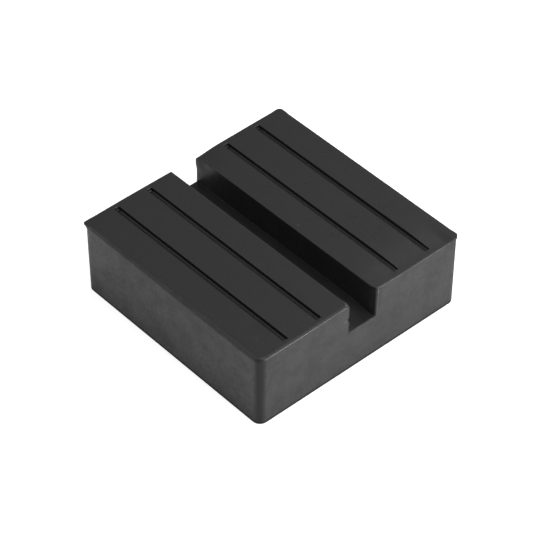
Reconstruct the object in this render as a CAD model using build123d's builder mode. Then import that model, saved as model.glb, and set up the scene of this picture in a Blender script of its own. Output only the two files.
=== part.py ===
"""Slotted rubber pad for the saddle of a lifting jack.

The pad is one moulding of solid black rubber. It stands on its flat base with Z up and the
origin at the centre of the base. The slot runs along Y and takes the flange under a car's sill,
and the lands on its two sides carry the load.
"""
from build123d import *
from math import radians, sqrt, tan
import os

# Block
pad_width = 75.0            # across the slot, at the top
pad_length = 75.0           # along the slot, at the top
pad_height = 25.0
side_draft = 0.35           # degrees that each side leans in towards the base
corner_radius = 2.6         # upright corners, at the top
left_shoulder_radius = 1.5  # upper edge of the -X side, the rounder of the two
right_shoulder_radius = 0.3 # upper edge of the +X side
end_edge_radius = 0.5       # upper edges of the two end faces
base_edge_radius = 0.5      # edge round the base

# Slot
slot_width = 9.8            # at the mouth
slot_depth = 9.5
slot_draft = 0.6            # degrees that each wall leans in towards the floor
slot_root_radius = 0.3
slot_mouth_radius = 0.3

# Grip grooves, a row on each land, centred on the flat of the left one and mirrored to the right
grooves_per_land = 2
groove_spacing = 12.1
groove_width = 1.9          # at the top
groove_depth = 1.2
groove_draft = 3.0          # degrees that each wall leans in towards the floor
groove_end_radius = 0.35    # corners of the groove in plan
groove_root_radius = 0.3
groove_end_land = 1.9       # rubber between a groove and the end face

# Flash left by the mould in the plane of the top, at three of the four corners
flash_thickness = 0.4
flash_tips = (              # corner by the signs of X and Y, and the reach past its rounding
    (-1, 1, 0.75),
    (1, 1, 0.5),
    (1, -1, 0.35),
)

# Places that follow from the sizes above
top_plane = Plane.XY.offset(pad_height)
side_lean = pad_height * tan(radians(side_draft))
slot_floor = pad_height - slot_depth
slot_mouth_half = slot_width / 2
slot_floor_half = slot_mouth_half - slot_depth * tan(radians(slot_draft))
land_inner = slot_mouth_half + slot_mouth_radius
land_outer = pad_width / 2 - left_shoulder_radius
land_centre = (land_inner + land_outer) / 2
groove_length = pad_length - 2 * groove_end_land
groove_floor = pad_height - groove_depth


def block_outline(width):
    """Corners of the block seen along one of its sides: wide at the top, drafted to the base."""
    top_half = width / 2
    base_half = top_half - side_lean
    return [(-base_half, 0), (base_half, 0), (top_half, pad_height), (-top_half, pad_height)]


def slot_outline():
    """Corners of the slot seen along it: its mouth in the top, then its floor."""
    return [
        (-slot_mouth_half, pad_height),
        (-slot_floor_half, slot_floor),
        (slot_floor_half, slot_floor),
        (slot_mouth_half, pad_height),
    ]


def flash_outline(sign_x, sign_y, reach):
    """Plan of the flash at one corner: it fills the corner outside the rounding."""
    centre_x = pad_width / 2 - corner_radius
    centre_y = pad_length / 2 - corner_radius
    tip = (corner_radius + reach) / sqrt(2)
    offsets = [(0, 0), (corner_radius, 0), (tip, tip), (0, corner_radius)]
    return [(sign_x * (centre_x + x), sign_y * (centre_y + y)) for x, y in offsets]


with BuildPart() as rubber_pad:
    # The block has its outline at the top and is drawn in towards the base by the draft
    with BuildSketch(top_plane):
        RectangleRounded(pad_width, pad_length, corner_radius)
    extrude(amount=-pad_height, taper=side_draft)

    # The section across the slot gives the shoulders, the slot and the radii of its edges
    with BuildSketch(Plane.XZ) as cross_section:
        with BuildLine():
            Polyline(*block_outline(pad_width), close=True)
        make_face()
        left_shoulder = cross_section.vertices().group_by(Axis.Y)[-1].sort_by(Axis.X)[0]
        fillet(left_shoulder, left_shoulder_radius)
        right_shoulder = cross_section.vertices().group_by(Axis.Y)[-1].sort_by(Axis.X)[-1]
        fillet(right_shoulder, right_shoulder_radius)
        with BuildLine():
            Polyline(*slot_outline(), close=True)
        make_face(mode=Mode.SUBTRACT)
        slot_corners = cross_section.vertices().filter_by_position(
            Axis.X, -slot_mouth_half, slot_mouth_half).group_by(Axis.Y)
        fillet(slot_corners[-1], slot_mouth_radius)
        fillet(slot_corners[0], slot_root_radius)
    extrude(amount=pad_length, both=True, mode=Mode.INTERSECT)

    # The section along the slot gives the upper edges of the end faces
    with BuildSketch(Plane.YZ) as long_section:
        with BuildLine():
            Polyline(*block_outline(pad_length), close=True)
        make_face()
        fillet(long_section.vertices().group_by(Axis.Y)[-1], end_edge_radius)
    extrude(amount=pad_width, both=True, mode=Mode.INTERSECT)

    # Blind grooves, stopped short of the end faces
    with BuildSketch(top_plane):
        with Locations((-land_centre, 0), (land_centre, 0)):
            with GridLocations(groove_spacing, 1, grooves_per_land, 1):
                RectangleRounded(groove_width, groove_length, groove_end_radius)
    extrude(amount=-groove_depth, taper=groove_draft, mode=Mode.SUBTRACT)
    groove_floors = rubber_pad.faces().filter_by(Plane.XY).filter_by_position(
        Axis.Z, groove_floor, groove_floor)
    fillet(groove_floors.edges(), groove_root_radius)

    # Small radius round the foot of the block
    fillet(rubber_pad.faces().sort_by(Axis.Z)[0].edges(), base_edge_radius)

    # Flash at the corners
    for sign_x, sign_y, reach in flash_tips:
        with BuildSketch(top_plane):
            with BuildLine():
                Polyline(*flash_outline(sign_x, sign_y, reach), close=True)
            make_face()
        extrude(amount=-flash_thickness)

rubber_pad.part.label = "rubber_pad"

os.makedirs("parts", exist_ok=True)
export_step(rubber_pad.part, "parts/rubber_pad.step")
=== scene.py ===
"""Slotted rubber pad for a lifting jack: its moulded surface, its rubber and a plain studio.

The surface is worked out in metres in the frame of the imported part: Y runs along the slot, X
across it, Z up from the flat base. Left and right are -X and +X, near and far are -Y and +Y.
"""
from math import cos, pi, radians, sin, tan

import bpy
import numpy as np
from bpy.props import FloatProperty, FloatVectorProperty, IntProperty, PointerProperty
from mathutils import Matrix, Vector


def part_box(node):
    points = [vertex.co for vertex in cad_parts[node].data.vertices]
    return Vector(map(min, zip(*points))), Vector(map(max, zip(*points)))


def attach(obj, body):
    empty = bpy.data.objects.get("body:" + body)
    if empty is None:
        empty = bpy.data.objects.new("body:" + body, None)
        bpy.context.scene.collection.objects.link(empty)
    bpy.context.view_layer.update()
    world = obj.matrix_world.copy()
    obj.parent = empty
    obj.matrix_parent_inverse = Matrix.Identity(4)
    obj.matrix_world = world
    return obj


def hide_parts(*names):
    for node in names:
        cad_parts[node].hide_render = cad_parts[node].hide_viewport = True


bl_info = {
    "name": "Slotted jack pad",
    "version": (1, 0, 0),
    "blender": (4, 5, 0),
    "location": "View3D > Sidebar > Jack Pad",
    "description": "Builds a moulded rubber jack pad and the studio that it stands in",
    "category": "Object",
}

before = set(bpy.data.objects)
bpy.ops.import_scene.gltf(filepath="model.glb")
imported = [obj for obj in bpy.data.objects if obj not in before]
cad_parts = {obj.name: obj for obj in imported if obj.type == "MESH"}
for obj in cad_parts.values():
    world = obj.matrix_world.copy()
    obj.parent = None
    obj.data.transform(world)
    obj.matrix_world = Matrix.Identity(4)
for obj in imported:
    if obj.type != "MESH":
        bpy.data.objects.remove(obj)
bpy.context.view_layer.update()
PAD_LOW, PAD_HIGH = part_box("rubber_pad")
PAD_SIZE = PAD_HIGH - PAD_LOW

MM = 0.001

# Width of the picture in pixels, and of the camera's sensor in millimetres
FRAME_PIXELS = 533
SENSOR_WIDTH = 36.0

# How far the floor goes each way, and its level, a hair under the pad's foot
FLOOR_REACH = 2.0
FLOOR_LEVEL = -0.02 * MM

# Slow waves in every face: how many, the shortest, the longest and the seed, and the share of
# their height that the ends and the top have
WAVES = (9, 9 * MM, 30 * MM, 3)
END_WAVES = 0.6
TOP_WAVES = 0.5

# Lips in the slot's side edges: the middle height, and how far each goes up and down from there
NEAR_LIP = (22.4 * MM, 2.5 * MM)
LOW_LIP = (17.5 * MM, 1.3 * MM)
FAR_LIP = (24.0 * MM, 2.9 * MM)

# Where straight changes start and end: the -X shoulder's radius along Y, and the low near edge
# of the right land inwards from the side and outwards from the pad's middle
SHOULDER_RUN = (-20 * MM, 20 * MM)
DROP_FROM_SIDE = (2 * MM, 5 * MM)
DROP_FROM_MIDDLE = (4 * MM, 12 * MM)

# Height above the slot's floor over which the bead and the rim's rounding come in
BEAD_FADE = 3.0 * MM
SILL_FADE = 1.5 * MM

# How far close mesh lines spread from the slot's sides, its floor, the foot and the bead, and
# how far from the slot's right side the bead's lie
SLOT_SIDE_REACH = 1.0 * MM
SLOT_FLOOR_REACH = 0.8 * MM
FOOT_REACH = 0.5 * MM
BEAD_REACH = 0.6 * MM
BEAD_LINES = 1.3 * MM

# How far from the slot's floor and from its right side the mesh moves along with them
FLOOR_PULL = 1.6 * MM
SIDE_PULL = 1.2 * MM

# Added below a fraction's line, so that nothing is divided by nought
TINY = 1e-12

# Masks of painted shade and of matt places, in millimetres. Two numbers are where a ramp starts
# and ends, and four are where a band starts, is full, is full last and ends
CORNER_SUM = (72.2, 73.2)
CORNER_TOP = (24.1, 24.8)
FOOT_HEIGHT = (0.75, 1.15)
FLOOR_HEIGHT = (12.0, 13.0, 15.7, 16.3)
FLOOR_SIDE = (4.9, 5.1)
FLOOR_END = (37.0, 37.4)
ROOT_SIDE = (4.5, 4.8, 4.95, 5.2)
MOUTH_SIDE = (-5.3, -4.6, 5.4, 5.8)
MOUTH_HEIGHT = (13.8, 14.8)
MOUTH_REACH = (-37.1, -36.1)
GROOVE_HEIGHT = (22.0, 23.0, 23.9, 24.7)
GROOVE_SIDE = (10.0, 11.0, 29.0, 30.0)
GROOVE_END = (36.2, 36.6)

# Noises of the rubber: features per millimetre, detail and roughness
BROAD_NOISE = (0.17, 3.0, 0.6)
FINE_NOISE = (0.75, 3.0, 0.65)
GRAIN_NOISE = (2.6, 2.0, 0.6)

# Edge of the smooth patches in the mixed noise, and the specks' cells per millimetre and edge
PATCH_EDGE = (0.36, 0.64)
SPECK_CELLS = 0.13
SPECK_EDGE = (0.03, 0.10)

# Where the mirrored room darkens: by a direction's height, and by its X and Y added up
HORIZON_HEIGHT = (0.1, 0.6)
HORIZON_SIDE = (0.3, 1.1)

# Name, azimuth from -Y towards +X and elevation in degrees, distance and size in metres, and the
# level at which the lamp alone renders a white card that faces it beside the pad
LAMPS = (
    ("front_lamp", 18, 12, 0.85, 0.6, 1.27),
    ("right_lamp", 90, 35, 0.9, 0.7, 0.40),
    ("back_lamp", -145, 36, 0.9, 0.8, 0.17),
    ("top_lamp", 0, 85, 1.0, 0.8, 0.385),
)


def length(name, description, default):
    """A size in metres that a user can change."""
    return FloatProperty(
        name=name, description=description, default=default, min=0.0, precision=5,
        subtype="DISTANCE", unit="LENGTH")


def signed_length(name, description, default):
    """A distance in metres that may be negative."""
    return FloatProperty(
        name=name, description=description, default=default, precision=5,
        subtype="DISTANCE", unit="LENGTH")


def angle(name, description, degrees):
    """An angle, given in degrees and kept in radians."""
    return FloatProperty(
        name=name, description=description, default=radians(degrees),
        subtype="ANGLE", unit="ROTATION")


def share(name, description, default):
    """A number from 0 to 1."""
    return FloatProperty(
        name=name, description=description, default=default, min=0.0, max=1.0,
        subtype="FACTOR")


def colour(name, description, default):
    """A colour in scene-linear red, green and blue."""
    return FloatVectorProperty(
        name=name, description=description, default=default, min=0.0, max=1.0,
        size=3, subtype="COLOR")


class PadShape(bpy.types.PropertyGroup):
    """Sizes of the moulded block, its slot, grooves, flash and flaws, and of its mesh."""

    side_lean: angle("Side lean", "How far the ends and the +X side lean in downwards", 0.35)
    corner_radius: length("Corner radius", "Rounding of the -X upright corners", 2.6 * MM)
    right_corner_radius: length("Right corner radius", "The same at the +X side", 2.25 * MM)
    left_shoulder: length("Left shoulder radius", "Near end of the -X upper edge", 1.5 * MM)
    far_shoulder: length("Far shoulder radius", "Far end of that edge", 0.95 * MM)
    right_shoulder: length("Right shoulder radius", "Upper edge of the +X side", 0.2 * MM)
    near_left_radius: length("Near left edge radius", "Upper -Y edge left of the slot", 0.70 * MM)
    near_right_radius: length("Near right edge radius", "The same right of it", 0.45 * MM)
    far_edge_radius: length("Far edge radius", "Upper edge of the +Y end", 0.15 * MM)
    base_radius: length("Base radius", "Edge round the foot", 0.15 * MM)
    slot_width: length("Slot width", "Width of the slot at its mouth", 9.74 * MM)
    slot_shift: length("Slot shift", "How far the slot is set to +X", 0.14 * MM)
    slot_depth: length("Slot depth", "Depth of the slot", 9.5 * MM)
    slot_lean: angle("Slot lean", "How far each slot wall leans in towards the floor", 0.6)
    slot_root: length("Slot root radius", "Rounding between slot wall and floor", 0.06 * MM)
    slot_mouth: length("Slot mouth radius", "Rounding of the slot's open edges", 0.28 * MM)
    slot_sill: length("Slot sill radius", "Rounding of the ends of the slot's floor", 0.15 * MM)
    floor_sag: length("Floor sag", "How far the floor falls away at its near end", 1.15 * MM)
    sag_reach: length("Sag reach", "How far the floor slopes down to that end", 9.0 * MM)
    worn_left: length("Worn left edge", "Extra rounding of the near edge left of the slot", 1.7 * MM)
    worn_reach: length("Worn reach", "How far wear and flare go into the slot", 1.5 * MM)
    near_flare: length("Near flare", "How far the slot widens at the near right edge", 0.45 * MM)
    bevel_width: length("Bevel width", "Width of the bevel on that edge", 0.35 * MM)
    bevel_depth: length("Bevel depth", "Depth of that bevel into the slot", 0.5 * MM)
    near_lip: length("Near lip", "How far the near left edge leans into the slot", 1.9 * MM)
    low_lip: length("Low lip", "The same lower down, where it bulges again", 1.15 * MM)
    near_lip_reach: length("Near lip reach", "How far both go into the slot", 2.4 * MM)
    bead: length("Bead", "Height of the bead beside the near right edge", 0.11 * MM)
    bead_place: length("Bead place", "From the slot's side to the bead", 0.9 * MM)
    bead_width: length("Bead width", "From the bead to the bottom of its moat", 0.5 * MM)
    near_drop: length("Near drop", "How far the near right upper edge is low", 0.42 * MM)
    drop_reach: length("Drop reach", "How far the top slopes down to that edge", 7.0 * MM)
    far_drop: length("Far drop", "How far the far corner right of the slot is low", 0.5 * MM)
    far_drop_reach: length("Far drop reach", "How far round it that goes", 4.5 * MM)
    far_lip: length("Far lip", "How far the far right edge leans into the slot", 0.68 * MM)
    far_lip_share: share("Far lip share", "Share of that lean lower down", 0.38)
    far_lip_reach: length("Far lip reach", "How far it goes into the slot", 2.8 * MM)
    groove_offset: length("Groove offset", "From the pad's middle to that of a land", 20.55 * MM)
    groove_spacing: length("Groove spacing", "Distance between a land's grooves", 12.08 * MM)
    groove_width: length("Groove width", "Width of a groove at the top", 1.9 * MM)
    groove_depth: length("Groove depth", "Depth of a groove", 1.2 * MM)
    groove_lean: angle("Groove lean", "How far each groove wall leans in", 3.0)
    groove_end_land: length("Groove end land", "Rubber beyond a groove's end", 1.94 * MM)
    groove_corner: length("Groove corner radius", "Corners of a groove in plan", 0.35 * MM)
    groove_root: length("Groove root radius", "Rounding at a groove's floor", 0.35 * MM)
    groove_mouth: length("Groove mouth radius", "Rounding of a groove's rim", 0.12 * MM)
    groove_slide: length("Groove slide", "How far the grooves are set to +Y", 0.2 * MM)
    groove_shift: length("Groove shift", "How far the mould sets all grooves to +X", 0.2 * MM)
    flash_thickness: length("Flash thickness", "Thickness of the flash at its tip", 0.32 * MM)
    flash_root: length("Flash root", "Width of the strip that carries the flash", 2.2 * MM)
    flash_fillet: length("Flash fillet", "Rounding under the flash", 0.25 * MM)
    left_trim: length("Left trim", "From the sharp -X +Y corner to its flash", 0.33 * MM)
    back_trim: length("Back trim", "From the sharp +X +Y corner to its flash", 0.58 * MM)
    right_trim: length("Right trim", "From the sharp +X -Y corner to its flash", 0.73 * MM)
    end_crown: length("End crown", "How far the upper edges left of the slot swell", 0.1 * MM)
    far_left_pull: length("Far left pull", "How far the far left upper edge is set in", 0.18 * MM)
    far_right_pull: length("Far right pull", "How far the far right one is, at the slot", 0.22 * MM)
    left_twist: length("Left twist", "How far the far foot of the -X side is set in", 0.35 * MM)
    near_left_foot: length("Near left foot", "How far that of the -Y end is set in", 0.27 * MM)
    near_right_foot: length("Near right foot", "The same at its right", 0.07 * MM)
    unevenness: length("Unevenness", "Height of the slow waves in every face", 0.04 * MM)
    spacing: length("Mesh spacing", "Distance between mesh lines on a flat", 0.85 * MM)
    newton_steps: IntProperty(
        name="Fitting steps", description="Steps that slide the mesh onto the form",
        default=9, min=1)


class RubberFinish(bpy.types.PropertyGroup):
    """Colour and gloss of the moulded rubber."""

    rubber: colour("Rubber", "Black of the matt patches", (0.0185, 0.0185, 0.0190))
    polish: colour("Polish", "Greyer black of the smooth patches", (0.0300, 0.0300, 0.0305))
    # Painted shade: this deeper black stands in for shade on the upright corner strip, along the
    # foot, in the slot's floor, root and near mouth, and inside the grooves.
    painted_shade_black: colour("Worn", "Black of rubbed and sheltered places", (0.0060, 0.0060, 0.0062))
    dust: colour("Dust", "Pale specks", (0.12, 0.12, 0.12))
    roughness: share("Roughness", "Roughness of the matt patches", 0.45)
    polish_roughness: share("Polish roughness", "Roughness of the smooth patches", 0.27)
    foot_roughness: share("Foot roughness", "Roughness of the foot and the slot's mouth", 0.8)
    corner_roughness: share("Corner roughness", "Roughness of the upright corners", 0.55)
    # How far the painted shade darkens the slot's floor, the root of its right wall and the grooves
    floor_shade: share("Floor shade", "How dark the slot's floor is", 0.6)
    root_shade: share("Root shade", "How dark the root of its right wall is", 0.6)
    groove_shade: share("Groove shade", "How dark the grooves are inside", 0.9)
    speck_shade: share("Speck shade", "How pale the specks are", 0.2)
    clean_share: share("Clean share", "Share of the cells without a speck", 0.8)
    specular: share("Specular", "Strength of the mirror reflection", 0.42)
    grain: length("Grain", "Height of the fine moulded grain", 0.012 * MM)


class StudioSetup(bpy.types.PropertyGroup):
    """Camera, lamps and floor."""

    camera_azimuth: angle("Camera azimuth", "Camera's turn from the -Y side to +X", -41.961)
    camera_elevation: angle("Camera elevation", "Camera's height as an angle", 43.308)
    camera_distance: length("Camera distance", "From the pad's centre", 755.9 * MM)
    camera_right: signed_length("Camera right", "Sideways offset of the camera", -1.12 * MM)
    camera_up: signed_length("Camera up", "Upward offset of the camera", -1.46 * MM)
    focal_pixels: FloatProperty(
        name="Focal length", description="In pixels of the frame's width", default=2667.8)
    floor: colour("Floor", "Pale floor", (0.86, 0.86, 0.86))
    room: share("Room", "Brightness of the upper room where it is mirrored", 0.33)
    horizon: share("Horizon", "The same at the height of the pad", 0.9)
    floor_glow: share("Floor glow", "Brightness added to the floor where it is mirrored", 0.31)
    camera_glow: share("Camera glow", "Brightness added to the floor that the camera sees", 0.75)
    contact_shade: share("Contact shade", "Share of the mirrored glow lost at the foot", 0.4)
    contact_reach: length("Contact reach", "How far from the foot that shade goes", 9.0 * MM)


class Signal:
    """An output socket of a shader node. Arithmetic on it adds Math nodes."""

    def __init__(self, shader, socket):
        self.shader = shader
        self.socket = socket

    def _math(self, operation, first, second=0.0):
        return self.shader.node(
            "ShaderNodeMath", {"operation": operation}, {0: first, 1: second})

    def __add__(self, other):
        return self._math("ADD", self, other)

    __radd__ = __add__

    def __sub__(self, other):
        return self._math("SUBTRACT", self, other)

    def __rsub__(self, other):
        return self._math("SUBTRACT", other, self)

    def __mul__(self, other):
        return self._math("MULTIPLY", self, other)

    __rmul__ = __mul__

    def __gt__(self, other):
        return self._math("GREATER_THAN", self, other)

    def __abs__(self):
        return self._math("ABSOLUTE", self)

    def larger(self, other):
        """The larger of two numbers."""
        return self._math("MAXIMUM", self, other)

    def ramp(self, low, high):
        """Smooth step: 0 up to low, 1 from high on."""
        return self.shader.node(
            "ShaderNodeMapRange", {"interpolation_type": "SMOOTHSTEP"},
            {"Value": self, "From Min": low, "From Max": high})

    def fade(self, low, high):
        """Smooth step down: 1 up to low, 0 from high on."""
        return 1.0 - self.ramp(low, high)

    def band(self, low, low_full, high_full, high):
        """1 between the two full places, with a smooth step down to 0 on both sides."""
        return self.ramp(low, low_full) * self.fade(high_full, high)


class Shader:
    """The node tree of a material or of the world, filled through one method."""

    def __init__(self, owner):
        owner.use_nodes = True
        self.tree = owner.node_tree
        self.tree.nodes.clear()

    def node(self, kind, settings=None, sockets=None, output=0):
        """Adds a node, sets its settings, then the values or links of its sockets."""
        made = self.tree.nodes.new(kind)
        for name, value in (settings or {}).items():
            setattr(made, name, value)
        for name, value in (sockets or {}).items():
            if isinstance(value, Signal):
                self.tree.links.new(value.socket, made.inputs[name])
            else:
                made.inputs[name].default_value = value
        if output is None:
            return made
        return Signal(self, made.outputs[output])

    def viewed(self):
        """Whether a ray comes from the camera, and whether it comes from a mirror or from glass."""
        path = self.node("ShaderNodeLightPath", output=None)
        camera, glossy, glass = (
            Signal(self, path.outputs[f"Is {kind} Ray"])
            for kind in ("Camera", "Glossy", "Transmission"))
        return camera, glossy.larger(glass)

    def axes(self, vector):
        """The three parts of a vector."""
        parts = self.node("ShaderNodeSeparateXYZ", {}, {0: vector}, None)
        return [Signal(self, part) for part in parts.outputs]

    def mix(self, factor, first, second):
        """Colour between two colours; the sockets 6, 7 and output 2 are the colour ones."""
        return self.node(
            "ShaderNodeMix", {"data_type": "RGBA"}, {0: factor, 6: first, 7: second}, 2)

    def noise(self, position, scale, detail, roughness):
        """Cloud noise from 0 to 1 with features about 1 / scale across."""
        return self.node(
            "ShaderNodeTexNoise", {},
            {"Vector": position, "Scale": scale, "Detail": detail, "Roughness": roughness})


def rgba(value):
    """Colour with full alpha."""
    return (*value, 1.0)


def bell(offset, reach, power=2):
    """Bell curve, 1 in the middle: exponential of minus a power of the offset over the reach."""
    return np.exp(-(offset / reach) ** power)


def rise(value, low, high):
    """Straight rise from 0 at the low place to 1 at the high one, and level beyond both."""
    return np.clip((value - low) / (high - low), 0.0, 1.0)


def blend(first, second, part):
    """The way from a first value to a second, gone by a part from 0 to 1."""
    return first + part * (second - first)


def rounded_overlap(first, second, radius):
    """Signed distance to the overlap of two solids, whose shared edge has the given radius.

    Where both distances are over minus the radius, the point is measured from the centre line
    of the rounding: the length of the two distances, each raised by the radius, less the radius.
    """
    across = np.maximum(first + radius, 0.0)
    along = np.maximum(second + radius, 0.0)
    return np.minimum(np.maximum(first, second), -radius) + np.hypot(across, along)


def rounded_cut(solid, hollow, radius):
    """Signed distance to a solid less a hollow, with the given radius along the rim."""
    return rounded_overlap(solid, -hollow, radius)


def slow_waves(points, count, shortest, longest, seed):
    """Unevenness from 0 to 1: the mean of sine waves in random directions, halved and raised."""
    random = np.random.default_rng(seed)
    directions = random.normal(size=(count, 3))
    directions /= np.linalg.norm(directions, axis=1)[:, None]
    lengths = random.uniform(shortest, longest, count)
    phases = random.uniform(0.0, 2 * pi, count)
    turns = points @ (directions * (2 * pi / lengths)[:, None]).T + phases
    return 0.5 + 0.5 * np.sin(turns).mean(axis=1)


def bead_moat(x, y, z, shape):
    """How far the -Y face is set in beside the slot's right edge, which leaves a bead along it.

    With t as the offset from the bead over its width, the depth is the bead's height times t
    squared times the exponential of one less t squared. It fades down to the slot's floor.
    """
    bead = shape.slot_shift + shape.slot_width / 2 + shape.bead_place
    offset = (x - bead) / shape.bead_width
    level = PAD_SIZE.z - shape.slot_depth
    fade = rise(z, level, level + BEAD_FADE) * (y < 0.0)
    return shape.bead * fade * offset ** 2 * np.exp(1.0 - offset ** 2)


def side_distances(x, y, z, waves, shape):
    """Signed distances to the two X sides and to the two ends, each pair by an absolute value.

    Each is the offset from the middle, less the half size, plus what the side is set in there.
    The ends and the +X side lean in towards the base. The foot of the -X side is set in at its
    far end, and that of the -Y end mostly at its left. Left of the slot the ends' upper edges
    are set in by the square of the offset from the land's middle. The far end's upper edge is
    set in too, on the right by the square of the nearness to the slot. Both grow by the square
    of the height.
    """
    half_x, half_y = PAD_SIZE.x / 2, PAD_SIZE.y / 2
    rise_share = z / PAD_SIZE.z
    lean = (PAD_SIZE.z - z) * tan(shape.side_lean)
    slot_half = shape.slot_width / 2
    across = (np.abs(x) - slot_half) / (half_x - slot_half)
    crown = shape.end_crown * (2 * across - 1) ** 2 * (x < 0.0)
    right_pull = shape.far_right_pull * np.clip(1 - across, 0.0, 1.0) ** 2
    pull = (y > 0.0) * np.where(x < 0.0, shape.far_left_pull, right_pull)
    upper = (crown + pull) * rise_share ** 2
    left_foot = shape.left_twist * (0.5 + 0.5 * y / half_y) * (x < 0.0)
    near_foot = blend(shape.near_right_foot, shape.near_left_foot, 0.5 - 0.5 * x / half_x)
    near_foot = near_foot * (y < 0.0)
    side_x = np.abs(x) - half_x + lean * (x > 0.0) + waves + left_foot * (1 - rise_share)
    side_y = np.abs(y) - half_y + lean + waves * END_WAVES + near_foot * (1 - rise_share)
    return side_x, side_y + upper + bead_moat(x, y, z, shape)


def top_drop(x, y, shape):
    """How far the top of the right land is low.

    At its near edge that is a bell curve in Y, which fades in a straight line towards the slot
    and another towards the corner. At the slot's far end it is a bell curve of the distance
    from there.
    """
    half_x, half_y = PAD_SIZE.x / 2, PAD_SIZE.y / 2
    near = shape.near_drop * bell(y + half_y, shape.drop_reach)
    near = near * rise(half_x - x, *DROP_FROM_SIDE) * rise(x, *DROP_FROM_MIDDLE)
    from_far_end = np.hypot(x - shape.slot_width / 2, y - half_y)
    far = shape.far_drop * bell(from_far_end, shape.far_drop_reach)
    return np.where(x > 0.0, near + far, 0.0)


def flash_distance(x, y, side_x, side_y, top, shape):
    """Signed distance to the flash: a thin plate under the top in three of the corners.

    Its depth into a corner is measured along the diagonal, from the sharp corner inwards. The
    plate is trimmed at its tip and thickens inwards by a quarter of that depth. At the fourth
    corner the trim is deeper than the plate, which leaves none of it.
    """
    depth = -(side_x + side_y) / np.sqrt(2.0)
    left_trim = np.where(y > 0.0, shape.left_trim, 2 * shape.flash_root)
    trim = np.where(x > 0.0, np.where(y > 0.0, shape.back_trim, shape.right_trim), left_trim)
    under = -top - shape.flash_thickness - 0.25 * depth
    sides = np.maximum(side_x, side_y)
    ends = np.maximum(trim - depth, depth - shape.flash_root)
    return np.maximum(np.maximum(sides, ends), np.maximum(top, under))


def block_distance(points, shape):
    """Signed distance to the block: uneven sides and top, rounded corners and edges, and flash.

    Each upper edge has its own radius, and that of the -X side changes in a straight line along
    the edge. Two of them blend round a corner by their shares of the squares of the distances
    into its rounding.
    """
    x, y, z = points.T
    waves = shape.unevenness * slow_waves(points, *WAVES)
    side_x, side_y = side_distances(x, y, z, waves, shape)
    top = z - PAD_SIZE.z + waves * TOP_WAVES + top_drop(x, y, shape)

    corner = np.where(x < 0.0, shape.corner_radius, shape.right_corner_radius)
    plan = rounded_overlap(side_x, side_y, corner)
    toward_x = np.maximum(side_x + corner, 0.0) ** 2
    toward_y = np.maximum(side_y + corner, 0.0) ** 2
    shoulder_share = toward_x / (toward_x + toward_y + TINY)
    near_radius = np.where(x < 0.0, shape.near_left_radius, shape.near_right_radius)
    end_radius = np.where(y < 0.0, near_radius, shape.far_edge_radius)
    left_shoulder = blend(shape.left_shoulder, shape.far_shoulder, rise(y, *SHOULDER_RUN))
    shoulder = np.where(x < 0.0, left_shoulder, shape.right_shoulder)
    block = rounded_overlap(plan, top, blend(end_radius, shoulder, shoulder_share))
    block = rounded_overlap(block, -z, shape.base_radius)
    flash = flash_distance(x, y, side_x, side_y, top, shape)
    joined = -rounded_overlap(-block, -flash, shape.flash_fillet)
    return np.maximum(joined, np.maximum(top, np.maximum(side_x, side_y)))


def far_lip_at(y, z, shape):
    """How far the +X wall leans into the slot at its far end, by a bell curve in Y from there.

    A share of it goes down the whole wall, and a flat bell curve in Z adds the rest on top.
    """
    middle, reach = FAR_LIP
    down = blend(shape.far_lip_share, 1.0, bell(z - middle, reach, 4))
    return shape.far_lip * bell(y - PAD_SIZE.y / 2, shape.far_lip_reach) * down


def sag_at(y, shape):
    """How far the slot's floor lies below its level, in a straight slope down to the near end."""
    near_end = -PAD_SIZE.y / 2
    return shape.floor_sag * (1.0 - rise(y, near_end, near_end + shape.sag_reach))


def slot_distance(points, shape):
    """Signed distance to the slot's hollow: walls that lean in, over a floor with root radii.

    Lips narrow it, as bell curves that fade into the slot: two along the near left edge, each a
    flat bell curve in Z, and one along the far right edge. At the near right edge it widens by
    such a curve and ends in a plain bevel, which goes on a little past the end face. The floor
    slopes down to its near end.
    """
    x, y, z = points.T
    x = x - shape.slot_shift
    half = shape.slot_width / 2 - (PAD_SIZE.z - z) * tan(shape.slot_lean)
    from_near = y + PAD_SIZE.y / 2
    near_lips = sum(
        size * bell(z - middle, reach, 4)
        for size, (middle, reach) in ((shape.near_lip, NEAR_LIP), (shape.low_lip, LOW_LIP)))
    near_lips = near_lips * bell(from_near, shape.near_lip_reach)
    flare = shape.near_flare * bell(from_near, shape.worn_reach)
    bevel = shape.bevel_width * np.clip(1.0 - from_near / shape.bevel_depth, 0.0, 1.2)
    lips = np.where(x < 0.0, near_lips, far_lip_at(y, z, shape) - flare - bevel)
    floor = PAD_SIZE.z - shape.slot_depth - sag_at(y, shape)
    return rounded_overlap(np.abs(x) - half + lips, floor - z, shape.slot_root)


def groove_offsets(x, y, shape):
    """Offsets from the middle line of the nearest groove and from the middle of its length.

    Absolute values fold one land onto the other, and a land's two grooves onto one.
    """
    off_land = np.abs(x - shape.groove_shift) - shape.groove_offset
    return np.abs(np.abs(off_land) - shape.groove_spacing / 2), np.abs(y - shape.groove_slide)


def groove_distance(points, shape):
    """Signed distance to the grooves' hollows: walls that lean in, over a floor with root radii."""
    x, y, z = points.T
    half_width = shape.groove_width / 2 - (PAD_SIZE.z - z) * tan(shape.groove_lean)
    half_length = PAD_SIZE.y / 2 - shape.groove_end_land
    across, along = groove_offsets(x, y, shape)
    plan = rounded_overlap(across - half_width, along - half_length, shape.groove_corner)
    return rounded_overlap(plan, PAD_SIZE.z - shape.groove_depth - z, shape.groove_root)


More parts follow.
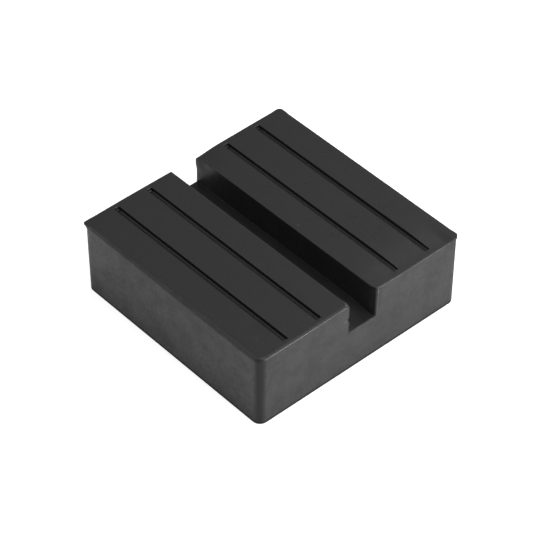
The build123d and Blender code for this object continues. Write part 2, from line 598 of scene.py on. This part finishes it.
def pad_distance(points, shape):
    """Signed distance to the whole pad: the block, less the slot, less the grooves.

    The slot's rim has the mouth's radius. At the near end it goes over by a bell curve to a
    worn left edge and a nearly sharp right one, and at the floor it is nearly sharp too.
    """
    x, y, z = points.T
    near = bell(y + PAD_SIZE.y / 2, shape.worn_reach)
    left = np.clip(0.5 - x / shape.slot_width, 0.0, 1.0)
    upright = blend(shape.slot_sill, shape.slot_mouth + shape.worn_left, left)
    rim = blend(shape.slot_mouth, upright, near)
    level = PAD_SIZE.z - shape.slot_depth
    rim = blend(shape.slot_sill, rim, rise(z, level, level + SILL_FADE))
    pad = rounded_cut(block_distance(points, shape), slot_distance(points, shape), rim)
    return rounded_cut(pad, groove_distance(points, shape), shape.groove_mouth)


def distance_slope(points, shape):
    """Gradient of the pad's distance, by differences over a step of a micrometre each way."""
    step = 0.001 * MM
    slopes = [
        pad_distance(points + step * axis, shape) - pad_distance(points - step * axis, shape)
        for axis in np.eye(3)
    ]
    return np.stack(slopes, axis=1) / (2 * step)


def mesh_lines(low, high, edges, spacing):
    """Places of the mesh lines along one axis.

    Each edge is a place and a reach, and has lines at shares of its reach to both sides. Even
    lines fill the rest, apart from those that lie within half a spacing of an edge's line.
    Places are rounded to a ten-thousandth of a millimetre, so that equal ones fall together.
    """
    shares = np.array((0.0, 0.08, 0.22, 0.45, 1.0))
    offsets = np.concatenate((-shares[:0:-1], shares))
    close = np.concatenate([place + reach * offsets for place, reach in edges])
    close = np.unique(np.clip(close, low, high).round(7))
    even = np.linspace(low, high, round((high - low) / spacing) + 1)
    clear = np.abs(even[:, None] - close).min(axis=1) > spacing / 2
    return np.union1d(close, even[clear])


def pad_lines(shape):
    """Mesh lines along X, Y and Z, closer beside every edge of the pad."""
    half_x, half_y, height = PAD_SIZE.x / 2, PAD_SIZE.y / 2, PAD_SIZE.z
    slot_sides = [shape.slot_shift + side * shape.slot_width / 2 for side in (-1, 1)]
    groove_sides = [
        shape.groove_shift + land * shape.groove_offset + row * shape.groove_spacing / 2
        + wall * shape.groove_width / 2
        for land in (-1, 1) for row in (-1, 1) for wall in (-1, 1)
    ]
    groove_ends = [
        shape.groove_slide + side * (half_y - shape.groove_end_land)
        for side in (-1, 1)
    ]
    groove_rim = 2.5 * shape.groove_mouth
    x_edges = [(side * half_x, shape.corner_radius) for side in (-1, 1)]
    x_edges += [(place, SLOT_SIDE_REACH) for place in slot_sides]
    x_edges.append((slot_sides[1] + BEAD_LINES, BEAD_REACH))
    x_edges += [(place, groove_rim) for place in groove_sides]
    y_edges = [(side * half_y, shape.corner_radius) for side in (-1, 1)]
    y_edges += [(place, shape.groove_corner) for place in groove_ends]
    z_edges = [
        (0.0, FOOT_REACH),
        (height, shape.left_shoulder),
        (height - shape.slot_depth, SLOT_FLOOR_REACH),
        (height - shape.groove_depth, shape.groove_root),
        (height - shape.flash_thickness, shape.flash_fillet),
    ]
    return (
        mesh_lines(-half_x, half_x, x_edges, shape.spacing),
        mesh_lines(-half_y, half_y, y_edges, shape.spacing),
        mesh_lines(0.0, height, z_edges, shape.spacing),
    )


def filled_cells(lines, shape):
    """Which cells between the mesh lines are rubber: all, less the slot, less the grooves."""
    x, y, z = np.meshgrid(
        *[(line[1:] + line[:-1]) / 2 for line in lines], indexing="ij", sparse=True)
    depth = PAD_SIZE.z - z
    in_slot = (np.abs(x - shape.slot_shift) < shape.slot_width / 2) & (depth < shape.slot_depth)
    across, along = groove_offsets(x, y, shape)
    in_groove = (
        (across < shape.groove_width / 2)
        & (along < PAD_SIZE.y / 2 - shape.groove_end_land)
        & (depth < shape.groove_depth)
    )
    return ~(in_slot | in_groove)


def skin_of_cells(filled):
    """Quads between filled and empty cells, as indices into the grid of line crossings.

    Along each axis, a step from filled to empty is a face that looks forwards, and a step from
    empty to filled one that looks backwards and is wound the other way.
    """
    crossings = np.arange(np.prod(np.add(filled.shape, 1))).reshape(np.add(filled.shape, 1))
    quads = []
    for axis in range(3):
        cells = np.moveaxis(filled, axis, 0).astype(np.int8)
        grid = np.moveaxis(crossings, axis, 0)
        step = np.diff(cells, axis=0, prepend=0, append=0)
        around = np.stack(
            (grid[:, :-1, :-1], grid[:, 1:, :-1], grid[:, 1:, 1:], grid[:, :-1, 1:]), axis=-1)
        if axis == 1:
            around = around[..., ::-1]
        quads += [around[step < 0], around[step > 0][:, ::-1]]
    return np.concatenate(quads)


def beside_slot(points, shape):
    """The points, with those round the slot's floor and its far right edge moved along with them.

    The floor's slope moves points down and the far lip moves points to -X, both fading as bell
    curves away from the floor's level and from the slot's sides. Without this, the points there
    slide to the nearer end face and the lip and the slope lose their shape.
    """
    x, y, z = points.T
    level = PAD_SIZE.z - shape.slot_depth
    from_side = x - shape.slot_shift - shape.slot_width / 2
    outside = np.abs(x - shape.slot_shift) - shape.slot_width / 2
    outside = np.maximum(outside, 0.0)
    near_level = bell(z - level, FLOOR_PULL) * bell(outside, FLOOR_PULL)
    near_side = bell(from_side, SIDE_PULL) * rise(z, level - 1.0 * MM, level)
    lip = far_lip_at(y, z, shape) * near_side
    return np.stack((x - lip, y, z - sag_at(y, shape) * near_level), axis=1)


def pad_surface(shape):
    """Points, quads and normals of the pad.

    The skin of the filled cells is a pad with sharp edges. Its points are first moved with the
    slot's slope and lip. Each then slides down the slope of the pad's distance to where the
    distance is nought, which rounds every edge. A step is the distance over the square of the
    slope, and that square is taken as a quarter at least, so that no step is too long.
    """
    lines = pad_lines(shape)
    grid = np.stack(np.meshgrid(*lines, indexing="ij"), axis=-1).reshape(-1, 3)
    used, quads = np.unique(skin_of_cells(filled_cells(lines, shape)), return_inverse=True)
    points = beside_slot(grid[used], shape)
    for _ in range(shape.newton_steps):
        slope = distance_slope(points, shape)
        steepness = np.maximum((slope ** 2).sum(axis=1), 0.25)
        points = points - (pad_distance(points, shape) / steepness)[:, None] * slope
    points = np.clip(points, PAD_LOW, PAD_HIGH)
    normals = distance_slope(points, shape)
    normals /= np.linalg.norm(normals, axis=1)[:, None]
    return points, quads.reshape(-1, 4), normals


def mesh_object(name, points, quads, normals=None):
    """A smooth mesh object in the scene, with its place in its mesh."""
    mesh = bpy.data.meshes.new(name)
    mesh.from_pydata(points, [], quads)
    mesh.shade_smooth()
    if normals is not None:
        mesh.normals_split_custom_set_from_vertices(normals)
    made = bpy.data.objects.new(name, mesh)
    bpy.context.scene.collection.objects.link(made)
    return made


def painted_shade_masks(x, y, z, finish):
    """Masks of the upright corners, the foot, the slot's near end and all the painted shade.

    The upright corners are where the sum of the two offsets from the middle is largest. The
    slot's near end takes in the root of its right wall, and the painted shade also takes in the
    slot's floor and the inside of the grooves, each by its shade. The painted shade is a deeper
    black that stands in for shade: on the upright corner strip, along the foot, in the slot's
    floor, root and near mouth, and inside the grooves.
    """
    # Painted shade on the upright corner strip; its higher roughness is real
    corner = (abs(x) + abs(y)).ramp(*CORNER_SUM) * z.fade(*CORNER_TOP)
    # Painted shade: a dark line along the foot, where the contact shadow falls; its matt finish is
    # real
    foot = z.fade(*FOOT_HEIGHT)
    # Painted shade in the slot's floor and in the root of its right wall
    low = z.band(*FLOOR_HEIGHT) * abs(y).fade(*FLOOR_END)
    floor = low * abs(x).fade(*FLOOR_SIDE)
    root = low * x.band(*ROOT_SIDE)
    # Painted shade over the slot's near mouth and sill; their matt finish is real
    mouth = x.band(*MOUTH_SIDE) * z.ramp(*MOUTH_HEIGHT) * y.fade(*MOUTH_REACH)
    mouth = mouth.larger(root * finish.root_shade)
    # Painted shade inside the grooves
    groove = z.band(*GROOVE_HEIGHT) * abs(x).band(*GROOVE_SIDE) * abs(y).fade(*GROOVE_END)
    painted_shade = corner.larger(foot).larger(mouth).larger(groove * finish.groove_shade)
    return corner, foot, mouth, painted_shade.larger(floor * finish.floor_shade)


def rubber_material(finish):
    """Black moulded rubber: mottled, with fine grain, painted shade and a matt foot.

    Smooth patches come from two noises, a broad one and a fine one. Specks are cells of a cell
    noise, picked by their colour.
    """
    material = bpy.data.materials.new("moulded_black_rubber")
    shader = Shader(material)
    place = shader.node("ShaderNodeTexCoord", output="Object")
    millimetres = shader.node(
        "ShaderNodeVectorMath", {"operation": "SCALE"}, {0: place, "Scale": 1 / MM})
    corner, foot, mouth, painted_shade = painted_shade_masks(*shader.axes(millimetres), finish)
    broad = shader.noise(millimetres, *BROAD_NOISE)
    fine = shader.noise(millimetres, *FINE_NOISE)
    grain = shader.noise(millimetres, *GRAIN_NOISE)
    mottle = (broad * 0.55 + fine * 0.45).ramp(*PATCH_EDGE)
    body = shader.mix(mottle, rgba(finish.rubber), rgba(finish.polish))
    # Painted shade: the body goes to a deeper black over the painted-shade masks
    body = shader.mix(painted_shade, body, rgba(finish.painted_shade_black))
    cells = shader.node(
        "ShaderNodeTexVoronoi", {"feature": "F1"},
        {"Vector": millimetres, "Scale": SPECK_CELLS}, output=None)
    distance = Signal(shader, cells.outputs["Distance"])
    chance = shader.node("ShaderNodeSeparateColor", {}, {0: Signal(shader, cells.outputs["Color"])})
    specks = distance.fade(*SPECK_EDGE) * (chance > finish.clean_share)
    base = shader.mix(specks * finish.speck_shade, body, rgba(finish.dust))
    roughness = finish.roughness + mottle * (finish.polish_roughness - finish.roughness)
    roughness = roughness.larger(foot.larger(mouth) * finish.foot_roughness)
    roughness = roughness.larger(corner * finish.corner_roughness)
    bump = shader.node(
        "ShaderNodeBump", {},
        {"Height": grain * 0.6 + fine * 0.8, "Distance": finish.grain, "Strength": 1.0})
    surface = shader.node(
        "ShaderNodeBsdfPrincipled", {},
        {
            "Base Color": base,
            "Roughness": roughness,
            "Specular IOR Level": finish.specular,
            "Normal": bump,
        })
    shader.node("ShaderNodeOutputMaterial", {}, {"Surface": surface}, None)
    return material


def floor_material(setup):
    """Pale matt floor. It glows to the camera, so that it comes out white, and where mirrored.

    The mirrored glow fades towards the pad's foot, by the larger of a place's two offsets from
    the pad's sides, as light does between a block and a table.
    """
    material = bpy.data.materials.new("pale_floor")
    shader = Shader(material)
    camera, mirrored = shader.viewed()
    x, y, _ = shader.axes(shader.node("ShaderNodeTexCoord", output="Object"))
    offset = (abs(x) - PAD_SIZE.x / 2).larger(abs(y) - PAD_SIZE.y / 2)
    open_share = 1.0 - setup.contact_shade * offset.fade(0.0, setup.contact_reach)
    matt = shader.node("ShaderNodeBsdfDiffuse", {}, {"Color": rgba(setup.floor)})
    strength = mirrored * open_share * setup.floor_glow + camera * setup.camera_glow
    glow = shader.node("ShaderNodeEmission", {}, {"Strength": strength})
    both = shader.node("ShaderNodeAddShader", {}, {0: matt, 1: glow})
    shader.node("ShaderNodeOutputMaterial", {}, {"Surface": both}, None)
    return material


def set_world(setup):
    """Room that is white to the camera. Mirrored, it is pale low down, but not towards +X +Y."""
    world = bpy.data.worlds.new("pale_room")
    bpy.context.scene.world = world
    shader = Shader(world)
    camera, mirrored = shader.viewed()
    x, y, height = shader.axes(shader.node("ShaderNodeTexCoord", output="Generated"))
    pale = height.fade(*HORIZON_HEIGHT) * (x + y).fade(*HORIZON_SIDE)
    room = setup.room + pale * (setup.horizon - setup.room)
    glow = shader.node("ShaderNodeBackground", {}, {"Strength": camera + mirrored * room})
    shader.node("ShaderNodeOutputWorld", {}, {"Surface": glow}, None)


def direction(azimuth, elevation):
    """Unit vector from the pad to a place at an azimuth, from -Y towards +X, and elevation."""
    level = cos(elevation)
    return Vector((sin(azimuth) * level, -cos(azimuth) * level, sin(elevation)))


def add_lamp(name, azimuth, elevation, distance, size, level):
    """Square soft lamp aimed at the pad. A white card that faces it there renders at the level."""
    lamp = bpy.data.lights.new(name, "AREA")
    lamp.shape = "SQUARE"
    lamp.size = size
    lamp.energy = level * pi * pi * distance ** 2
    made = bpy.data.objects.new(name, lamp)
    toward = direction(azimuth, elevation)
    made.location = Vector((0.0, 0.0, PAD_SIZE.z / 2)) + toward * distance
    made.rotation_euler = toward.to_track_quat("Z", "Y").to_euler()
    made.visible_camera = False
    bpy.context.scene.collection.objects.link(made)


def add_camera(setup):
    """Camera at the photograph's angle: out along the azimuth and elevation, then moved across."""
    data = bpy.data.cameras.new("camera")
    data.sensor_width = SENSOR_WIDTH
    data.lens = setup.focal_pixels * SENSOR_WIDTH / FRAME_PIXELS
    data.clip_start = 0.01
    made = bpy.data.objects.new("camera", data)
    back = direction(setup.camera_azimuth, setup.camera_elevation)
    right = Vector((cos(setup.camera_azimuth), sin(setup.camera_azimuth), 0.0))
    up = back.cross(right)
    made.location = (
        Vector((0.0, 0.0, PAD_SIZE.z / 2)) + back * setup.camera_distance
        + right * setup.camera_right + up * setup.camera_up)
    made.rotation_euler = back.to_track_quat("Z", "Y").to_euler()
    bpy.context.scene.collection.objects.link(made)
    bpy.context.scene.camera = made


class JACKPAD_OT_block(bpy.types.Operator):
    """Build the moulded rubber block with its slot, grooves and flash"""

    bl_idname = "jackpad.block"
    bl_label = "Rubber block"

    def execute(self, context):
        scene = context.scene
        block = mesh_object("moulded_rubber_pad", *pad_surface(scene.pad_shape))
        block.data.materials.append(rubber_material(scene.rubber_finish))
        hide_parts("rubber_pad")
        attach(block, "root")
        return {"FINISHED"}


class JACKPAD_OT_studio(bpy.types.Operator):
    """Set up the pale floor, the soft lamps and the camera"""

    bl_idname = "jackpad.studio"
    bl_label = "Studio"

    def execute(self, context):
        setup = context.scene.studio_setup
        ends = (-FLOOR_REACH, FLOOR_REACH)
        corners = [(x, y, FLOOR_LEVEL) for x in ends for y in ends]
        floor = mesh_object("floor", corners, [(0, 2, 3, 1)])
        floor.data.materials.append(floor_material(setup))
        set_world(setup)
        for name, azimuth, elevation, distance, size, level in LAMPS:
            add_lamp(name, radians(azimuth), radians(elevation), distance, size, level)
        add_camera(setup)
        context.scene.view_settings.view_transform = "Standard"
        return {"FINISHED"}


class JACKPAD_PT_panel(bpy.types.Panel):
    """Panel with the builders and their sizes"""

    bl_label = "Jack Pad"
    bl_idname = "JACKPAD_PT_panel"
    bl_space_type = "VIEW_3D"
    bl_region_type = "UI"
    bl_category = "Jack Pad"

    def draw(self, context):
        layout = self.layout
        scene = context.scene
        groups = (scene.pad_shape, scene.rubber_finish, scene.studio_setup)
        for group in groups:
            box = layout.box()
            for name in group.__annotations__:
                box.prop(group, name)
        layout.operator(JACKPAD_OT_block.bl_idname)
        layout.operator(JACKPAD_OT_studio.bl_idname)


CLASSES = (
    PadShape,
    RubberFinish,
    StudioSetup,
    JACKPAD_OT_block,
    JACKPAD_OT_studio,
    JACKPAD_PT_panel,
)


def register():
    """Adds the classes, and one group of each kind of setting to the scene."""
    for cls in CLASSES:
        bpy.utils.register_class(cls)
    bpy.types.Scene.pad_shape = PointerProperty(type=PadShape)
    bpy.types.Scene.rubber_finish = PointerProperty(type=RubberFinish)
    bpy.types.Scene.studio_setup = PointerProperty(type=StudioSetup)


def unregister():
    """Takes the settings and the classes away again."""
    del bpy.types.Scene.pad_shape
    del bpy.types.Scene.rubber_finish
    del bpy.types.Scene.studio_setup
    for cls in reversed(CLASSES):
        bpy.utils.unregister_class(cls)


def main():
    """Makes the pad and its studio."""
    register()
    bpy.ops.jackpad.block()
    bpy.ops.jackpad.studio()


if __name__ == "__main__":
    main()
